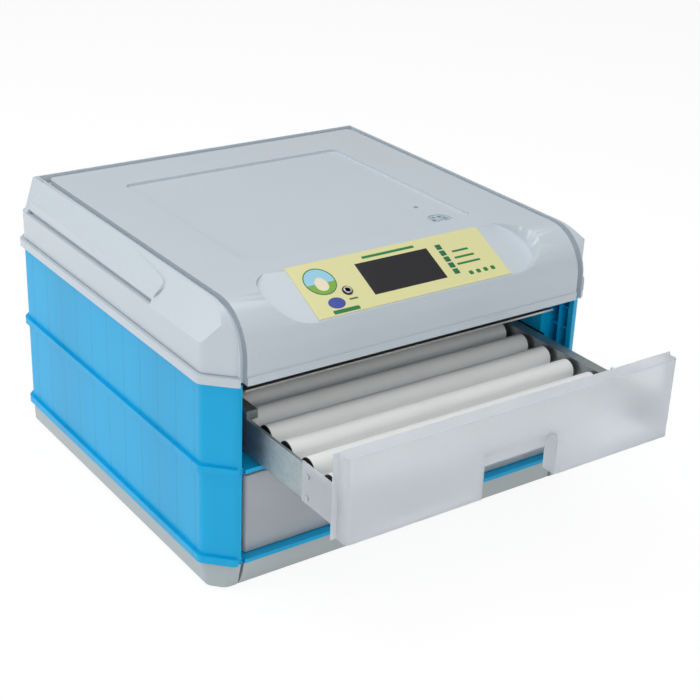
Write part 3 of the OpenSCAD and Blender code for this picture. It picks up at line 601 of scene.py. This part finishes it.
class INCUBATOR_OT_tiers(Maker, bpy.types.Operator):
    """The two blue tiers"""

    bl_idname = "incubator.tiers"
    bl_label = "Tiers"

    def build(self, shell, controls, drawers, stage):
        blue = tier_plastic("tier_plastic", tuple(shell.tier))
        for tier in TIERS:
            copied(
                f"{tier}_walls", f"{tier}_tier", blue.material, "housing", "tier_blue",
                shell.edge,
            )


class INCUBATOR_OT_lid(Maker, bpy.types.Operator):
    """Lid frame and hood"""

    bl_idname = "incubator.lid"
    bl_label = "Lid"

    def build(self, shell, controls, drawers, stage):
        grey = moulded("lid_plastic", tuple(shell.lid), 0.3, coat=0.3)
        copied("lid_cheeks", "lid_frame", grey.material, "housing", "lid_grey", shell.edge)
        copied("hood_shell", "hood", grey.material, "housing", "lid_grey", shell.edge)


class INCUBATOR_OT_vent(Maker, bpy.types.Operator):
    """Turning vent dial"""

    bl_idname = "incubator.vent"
    bl_label = "Vent dial"

    def build(self, shell, controls, drawers, stage):
        grey = moulded("vent_plastic", tuple(controls.vent), 0.3, coat=0.3)
        copied("vent_disc", "vent_dial", grey.material, "vent_dial", "vent_grey", 0.0004)


class INCUBATOR_OT_inlet(Maker, bpy.types.Operator):
    """Mains inlet at the back"""

    bl_idname = "incubator.inlet"
    bl_label = "Power inlet"

    def build(self, shell, controls, drawers, stage):
        black = moulded("inlet_plastic", tuple(controls.socket), 0.5)
        copied(
            "mains_inlet", "power_inlet", black.material, "housing", "inlet_black", 0.0005
        )


# ---- Controls ----


class INCUBATOR_OT_panel_print(Maker, bpy.types.Operator):
    """Printed overlay with its plain motifs"""

    bl_idname = "incubator.panel_print"
    bl_label = "Overlay"
    EMBLEM = (-0.1035, 0.0105, 0.0195)  # middle on the panel, and radius

    def build(self, shell, controls, drawers, stage):
        film = Paint("overlay_film", Coat_Weight=0.2, Coat_Roughness=0.2)
        fade = film.cloud(9, 2)
        film.colour(film.blend(fade, *shades(tuple(controls.film), 0.025)))
        film.roughness(0.42 + fade * 0.05)
        film.bump(film.cloud(1200, 2), 0.000006)
        copied("overlay", "control_label", film.material, "housing", "label_print")
        self.motifs(tuple(controls.ink), tuple(controls.badge))

    def ink(self, name, colour):
        paint = Paint(name, Coat_Weight=0.1)
        press = paint.cloud(700, 3)
        paint.colour(paint.blend(press, *shades(colour, 0.12)))
        paint.roughness(0.4 + press * 0.1)
        return paint.material

    def motifs(self, green, blue):
        """A ringed egg on a field, an oval badge and plain bars, all thin as ink."""
        inks = {
            "green": self.ink("ink_green", green),
            "sky": self.ink("ink_sky", tint(150, 205, 225)),
            "field": self.ink("ink_field", tint(122, 172, 60)),
            "cream": self.ink("ink_cream", tint(236, 222, 196)),
            "blue": self.ink("ink_blue", blue),
        }
        x, y, radius = self.EMBLEM
        horizon = -0.15
        inside = radius - 0.0014
        ring = band_of(
            oval(radius, radius, (x, y)), INK_LOW, INK_HIGH, PANEL,
            oval(radius - 0.0012, radius - 0.0012, (x, y)),
        )
        sky = self.printed(self.part_disc(x, y, inside, horizon, 1))
        field = self.printed(self.part_disc(x, y, inside, -1, horizon))
        egg = band_of(
            self.egg(x, y - 0.004, 0.0078), INK_HIGH, INK_HIGH + EGG_RISE, PANEL
        )
        badge = self.printed(oval(0.0105, 0.0078, (-0.1005, -0.0225)))
        bars = [
            self.printed(rounded_box(half, tall, min(half, tall) * 0.5, (bar_x, bar_y)))
            for bar_x, bar_y, half, tall in self.bars()
        ]
        for name, ink, parts in (
            ("emblem_ring", "green", [ring]),
            ("emblem_sky", "sky", [sky]),
            ("emblem_field", "field", [field]),
            ("emblem_egg", "cream", [egg]),
            ("badge_oval", "blue", [badge]),
            ("print_bars", "green", bars),
        ):
            made(name, joined(*parts), inks[ink], "housing", "label_print")

    @staticmethod
    def printed(outline):
        return band_of(outline, INK_LOW, INK_HIGH, PANEL)

    @staticmethod
    def bars():
        """The plain bars, each as its middle on the panel and its half sizes."""
        lines = [
            (-0.0945, -0.0345, 0.017, 0.0026),
            (0.0, 0.0300, 0.036, 0.0017),
            (-0.078, -0.0215, 0.0055, 0.0011),
        ]
        steps = [
            (0.0905, 0.0105 - 0.0145 * 0.66 * i, 0.0115 + 0.0025 * i, 0.0014)
            for i in range(3)
        ]
        dots = [(0.0835 + 0.0105 * i, -0.0245, 0.0028, 0.0028) for i in range(4)]
        return lines + steps + dots

    @staticmethod
    def part_disc(cx, cy, r, low, high):
        """The part of a disc between two heights given as shares of its radius."""
        points = []
        for x, y in oval(r, r):
            points.append((cx + x, cy + min(max(y, low * r), high * r)))
        unique = []
        for p in points:
            if not unique or (Vector(p) - Vector(unique[-1])).length > 0.00001:
                unique.append(p)
        return unique

    @staticmethod
    def egg(cx, cy, r):
        """An oval that narrows upwards."""
        points = []
        for x, y in oval(1, 1):
            points.append((cx + x * r * (1 - 0.12 * y), cy + y * r * 1.25))
        return points


class INCUBATOR_OT_buttons(Maker, bpy.types.Operator):
    """Five square push buttons"""

    bl_idname = "incubator.buttons"
    bl_label = "Buttons"

    def build(self, shell, controls, drawers, stage):
        green = moulded("button_plastic", tuple(controls.button), 0.3, spread=0.05)
        for i in range(1, BUTTONS + 1):
            copied(
                f"push_button_{i}", f"button_{i}", green.material, f"button_{i}",
                "button_green", 0.0004, least=0.0015,
            )


class INCUBATOR_OT_display(Maker, bpy.types.Operator):
    """Display window, low-voltage socket and the board behind them"""

    bl_idname = "incubator.display"
    bl_label = "Display"

    def build(self, shell, controls, drawers, stage):
        glass = smoked("display_window", tuple(controls.window))
        copied(
            "display_pane", "display_window", glass.material, "housing", "display_black",
            0.0004,
        )
        black = moulded("jack_plastic", tuple(controls.socket), 0.35)
        copied("jack_socket", "dc_jack", black.material, "housing", "inlet_black", 0.0003)
        steel = turned_steel("jack_steel", tuple(drawers.screw))
        ring = [(0.0031, 0.0016), (0.0048, 0.0016), (0.0048, 0.0023), (0.0044, 0.0026),
                (0.0034, 0.0026), (0.0031, 0.0022), (0.0031, 0.0016)]
        place = PANEL @ Matrix.Translation((-0.079, -0.0095, 0))
        made("jack_ring", turned_at(ring, place), steel.material, "housing", "screw_steel")
        board = board_print("board_print", tint(16, 92, 58))
        copied("control_board", "main_board", board.material, "housing", "board_green")


# ---- Heater and fan ----


class INCUBATOR_OT_heater(Maker, bpy.types.Operator):
    """Heater plate, heating rod, fan and sensor over the upper drawer"""

    bl_idname = "incubator.heater"
    bl_label = "Heater and fan"

    def build(self, shell, controls, drawers, stage):
        steel = sheet_steel("plate_steel", tuple(drawers.plate), 0.36)
        copied("heater_deck", "heater_plate", steel.material, "housing", "plate_steel")
        rod = ceramic_rod("rod_metal", tint(150, 140, 130))
        copied("heating_rod", "heating_coil", rod.material, "housing", "coil_metal")
        black = moulded("fan_plastic", tint(38, 38, 40), 0.45)
        copied("fan_frame", "fan_housing", black.material, "housing", "fan_black", 0.0004)
        copied("fan_wheel", "fan_rotor", black.material, "fan_rotor", "fan_black", 0.0003)
        white = moulded("probe_plastic", tint(236, 236, 230), 0.4)
        copied("sensor", "sensor_probe", white.material, "housing", "probe_white", 0.0005)


# ---- Drawers ----


class INCUBATOR_OT_fronts(Maker, bpy.types.Operator):
    """Milky drawer fronts"""

    bl_idname = "incubator.fronts"
    bl_label = "Drawer fronts"

    def build(self, shell, controls, drawers, stage):
        cast = milky("front_plastic", tuple(drawers.front))
        for tier in TIERS:
            copied(
                f"{tier}_panel", f"{tier}_front", cast.material, f"{tier}_drawer",
                "front_clear", 0.0007,
            )


class INCUBATOR_OT_rails(Maker, bpy.types.Operator):
    """Side rails, rear plates, slide guides and their screws"""

    bl_idname = "incubator.rails"
    bl_label = "Rails"

    def build(self, shell, controls, drawers, stage):
        steel = sheet_steel("rail_steel", tuple(drawers.rail), 0.42, turn=math.pi / 2)
        zinc = turned_steel("screw_steel", tuple(drawers.screw))
        for tier in TIERS:
            for node in ("left_rail", "right_rail", "rear_plate"):
                copied(
                    f"{tier}_{node}_sheet", f"{tier}_{node}", steel.material,
                    f"{tier}_drawer", "rail_steel", 0.0003,
                )
            copied(
                f"{tier}_bracket_screws", f"{tier}_screws", zinc.material,
                f"{tier}_drawer", "screw_steel", 0.0003, least=0.0002,
            )
        black = moulded("guide_plastic", tint(34, 34, 38), 0.4)
        copied("guide_strips", "slide_guides", black.material, "housing", "guide_black",
               0.0004)
        copied("guide_screw_heads", "guide_screws", zinc.material, "housing",
               "screw_steel", 0.0003, least=0.0002)


class INCUBATOR_OT_drive(Maker, bpy.types.Operator):
    """Gear motors, chains and drive sprockets"""

    bl_idname = "incubator.drive"
    bl_label = "Roller drive"

    def build(self, shell, controls, drawers, stage):
        plated = turned_steel("motor_metal", tint(196, 196, 192), 0.35)
        dark = moulded("chain_plastic", tuple(drawers.chain), 0.5, grain=0.00003)
        for tier in TIERS:
            copied(f"{tier}_motor", f"{tier}_gear_motor", plated.material,
                   f"{tier}_drawer", "motor_metal", 0.0006)
            copied(f"{tier}_chain", f"{tier}_drive_chain", dark.material,
                   f"{tier}_drawer", "chain_black")
            copied(f"{tier}_pinion", f"{tier}_drive_sprocket", dark.material,
                   f"{tier}_drive_sprocket", "chain_black", 0.0002)


class INCUBATOR_OT_rollers(Maker, bpy.types.Operator):
    """Rollers: a white tube, black end caps, a steel axle and a sprocket"""

    bl_idname = "incubator.rollers"
    bl_label = "Rollers"

    def build(self, shell, controls, drawers, stage):
        white = tube_plastic("roller_plastic", tuple(drawers.tube)).material
        black = moulded("cap_plastic", tuple(drawers.cap), 0.3, coat=0.3).material
        steel = turned_steel("axle_steel", tuple(drawers.screw)).material
        for tier in TIERS:
            for i in range(1, ROLLERS + 1):
                self.roller(f"{tier}_roller_{i}", white, black, steel)

    def roller(self, node, white, black, steel):
        low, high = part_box(node)
        centre = (low + high) / 2
        radius = (high.z - low.z) / 2
        left, right = TUBE_ENDS
        spot = Matrix.Translation((0, centre.y, centre.z)) @ Matrix.Rotation(
            math.pi / 2, 4, "Y"
        )
        inner = radius - TUBE_WALL
        edge = ROUND_END
        tube = [
            (inner, left), (radius - edge, left), (radius, left + edge),
            (radius, right - edge), (radius - edge, right), (inner, right), (inner, left),
        ]
        made(f"{node}_tube", turned_at(tube, spot, 56), white, node, "roller_white",
             (node,))
        caps = [turned_at(self.cap(radius, end, way), spot) for end, way in
                ((left, 1), (right, -1))]
        made(f"{node}_caps", joined(*caps), black, node, "chain_black", (node,))
        nose = AXLE_RADIUS - edge
        axle = [
            (0, low.x), (nose, low.x), (AXLE_RADIUS, low.x + edge),
            (AXLE_RADIUS, high.x - edge), (nose, high.x), (0, high.x),
        ]
        made(f"{node}_axle", turned_at(axle, spot, 24), steel, node, "screw_steel", (node,))
        made(f"{node}_sprocket", self.sprocket(spot), black, node, "chain_black", (node,))

    @staticmethod
    def cap(radius, end, way):
        """An end cap's half-section: flange, dished face and the hub round the axle."""
        rim, plug, hub, pin = radius - 0.0003, radius - 0.0019, 0.0048, AXLE_BORE
        points = [
            (pin, 0.0068), (plug, 0.0068), (plug, 0.0003), (plug, -0.0001), (rim, -0.0001),
            (rim, -0.0008), (rim - 0.0004, -0.0012), (rim - 0.0022, -0.0012),
            (rim - 0.0030, 0.0014), (hub + 0.0008, 0.0014), (hub, -0.0008),
            (hub - 0.0006, -0.0012), (pin, -0.0012), (pin, 0.0068),
        ]
        return [(r, end + way * h) for r, h in points]

    @staticmethod
    def sprocket(spot, teeth=10, root=0.006, tip=0.007, half=0.0015, middle=-0.2045):
        """The toothed disc on the axle's left end."""
        outline = []
        for i in range(teeth):
            start = math.tau * i / teeth
            for turn, r in ((-0.20, root), (-0.08, tip), (0.08, tip), (0.20, root)):
                outline.append((r * math.cos(start + turn), r * math.sin(start + turn)))
        bore = oval(AXLE_BORE, AXLE_BORE, count=len(outline))
        place = spot @ Matrix.Translation((0, 0, middle))
        return band_of(outline, -half, half, place, bore)


# ---- Stage ----


class INCUBATOR_OT_stage(Maker, bpy.types.Operator):
    """Pale floor, soft lamps and the camera"""

    bl_idname = "incubator.stage"
    bl_label = "Stage"

    def build(self, shell, controls, drawers, stage):
        self.floor()
        self.sky(stage.sky)
        self.lamp("key_lamp", (-0.3, 0.3, 2.4), 2.4, stage.key)
        self.lamp("fill_lamp", (-0.7, -2.4, 1.2), 1.8, stage.fill)
        self.lamp("rear_lamp", (-2.4, 1.4, 0.9), 1.6, stage.rear)
        self.camera()
        bpy.context.scene.view_settings.view_transform = "Standard"

    def floor(self):
        shape = bmesh.new()
        bmesh.ops.create_grid(shape, x_segments=1, y_segments=1, size=12)
        bmesh.ops.translate(shape, vec=(0, 0, -0.0002), verts=shape.verts)
        mesh = bpy.data.meshes.new("floor")
        shape.to_mesh(mesh)
        shape.free()
        paint = Paint("floor_paper", Roughness=0.9, Specular_IOR_Level=0.0)
        mist = paint.cloud(3, 2)
        paint.colour(paint.blend(mist, (0.9, 0.9, 0.9), (0.93, 0.93, 0.93)))
        self.lift(paint)
        mesh.materials.append(paint.material)
        floor = bpy.data.objects.new("floor", mesh)
        bpy.context.scene.collection.objects.link(floor)

    @staticmethod
    def lift(paint, share=0.85):
        """Lets the floor glow a little where it is seen, so that it reads as white."""
        tree = paint.tree
        glow = paint.node(
            "ShaderNodeEmission", {}, {"Color": (1.0, 1.0, 1.0), "Strength": 1.05}
        )
        path = paint.node("ShaderNodeLightPath", {}, (), "Is Camera Ray")
        mirror = paint.node("ShaderNodeLightPath", {}, (), "Is Glossy Ray")
        glass = paint.node("ShaderNodeLightPath", {}, (), "Is Transmission Ray")
        seen = path.larger(mirror).larger(glass) * share
        mixed = paint.node("ShaderNodeMixShader", {}, {0: seen})
        tree.links.new(paint.shader.outputs[0], mixed.socket.node.inputs[1])
        tree.links.new(glow.socket, mixed.socket.node.inputs[2])
        tree.links.new(mixed.socket, tree.nodes["Material Output"].inputs["Surface"])

    @staticmethod
    def sky(strength):
        """Light from all round, which the camera sees as white."""
        world = bpy.data.worlds.new("studio")
        bpy.context.scene.world = world
        world.use_nodes = True
        tree = world.node_tree
        back = tree.nodes["Background"]
        back.inputs["Color"].default_value = (1, 1, 1, 1)
        path = tree.nodes.new("ShaderNodeLightPath")
        seen = tree.nodes.new("ShaderNodeMath")
        seen.operation = "MAXIMUM"
        tree.links.new(path.outputs["Is Camera Ray"], seen.inputs[0])
        tree.links.new(path.outputs["Is Transmission Ray"], seen.inputs[1])
        level = tree.nodes.new("ShaderNodeMapRange")
        level.inputs["To Min"].default_value = strength
        level.inputs["To Max"].default_value = 1.0
        tree.links.new(seen.outputs[0], level.inputs["Value"])
        tree.links.new(level.outputs[0], back.inputs["Strength"])

    @staticmethod
    def lamp(name, spot, size, power, aim=(0, -0.05, 0.15)):
        """A square area lamp that faces the machine."""
        light = bpy.data.lights.new(name, "AREA")
        light.shape = "SQUARE"
        light.size = size
        light.energy = power
        lamp = bpy.data.objects.new(name, light)
        lamp.location = spot
        way = Vector(aim) - Vector(spot)
        lamp.rotation_euler = way.to_track_quat("-Z", "Y").to_euler()
        bpy.context.scene.collection.objects.link(lamp)

    @staticmethod
    def camera():
        """A camera at the photographer's place; right and up are rolled about its view."""
        az, el, roll = (math.radians(a) for a in CAMERA_TURN)
        ahead = Vector((-math.sin(az) * math.cos(el), math.cos(az) * math.cos(el),
                        -math.sin(el)))
        right = Vector((math.cos(az), math.sin(az), 0))
        up = right.cross(ahead)
        side = right * math.cos(roll) + up * math.sin(roll)
        top = up * math.cos(roll) - right * math.sin(roll)
        data = bpy.data.cameras.new("camera")
        data.lens = CAMERA_LENS
        data.sensor_width = 36
        data.clip_start, data.clip_end = 0.05, 60
        camera = bpy.data.objects.new("camera", data)
        turn = Matrix((side, top, -ahead)).transposed().to_4x4()
        camera.matrix_world = Matrix.Translation(CAMERA_SPOT) @ turn
        bpy.context.scene.collection.objects.link(camera)
        bpy.context.scene.camera = camera


class INCUBATOR_PT_panel(bpy.types.Panel):
    """Lists what can be built"""

    bl_label = "Egg Incubator"
    bl_idname = "INCUBATOR_PT_panel"
    bl_space_type = "VIEW_3D"
    bl_region_type = "UI"
    bl_category = "Incubator"

    def draw(self, context):
        scene = context.scene
        for group in (scene.inc_shell, scene.inc_controls, scene.inc_drawers, scene.inc_stage):
            box = self.layout.box()
            for name in group.__annotations__:
                box.prop(group, name)
        for maker in MAKERS:
            self.layout.operator(maker.bl_idname)


GROUPS = {
    "inc_shell": INCUBATOR_PG_shell,
    "inc_controls": INCUBATOR_PG_controls,
    "inc_drawers": INCUBATOR_PG_drawers,
    "inc_stage": INCUBATOR_PG_stage,
}
MAKERS = (
    INCUBATOR_OT_base, INCUBATOR_OT_tiers, INCUBATOR_OT_lid, INCUBATOR_OT_vent,
    INCUBATOR_OT_inlet, INCUBATOR_OT_panel_print, INCUBATOR_OT_buttons,
    INCUBATOR_OT_display, INCUBATOR_OT_heater, INCUBATOR_OT_fronts, INCUBATOR_OT_rails,
    INCUBATOR_OT_drive, INCUBATOR_OT_rollers, INCUBATOR_OT_stage,
)
CLASSES = (*GROUPS.values(), *MAKERS, INCUBATOR_PT_panel)


def register():
    for kind in CLASSES:
        bpy.utils.register_class(kind)
    for name, group in GROUPS.items():
        setattr(bpy.types.Scene, name, PointerProperty(type=group))


def unregister():
    for name in GROUPS:
        delattr(bpy.types.Scene, name)
    for kind in reversed(CLASSES):
        bpy.utils.unregister_class(kind)


def main():
    register()
    for maker in MAKERS:
        family, name = maker.bl_idname.split(".")
        getattr(getattr(bpy.ops, family), name)()


if __name__ == "__main__":
    main()
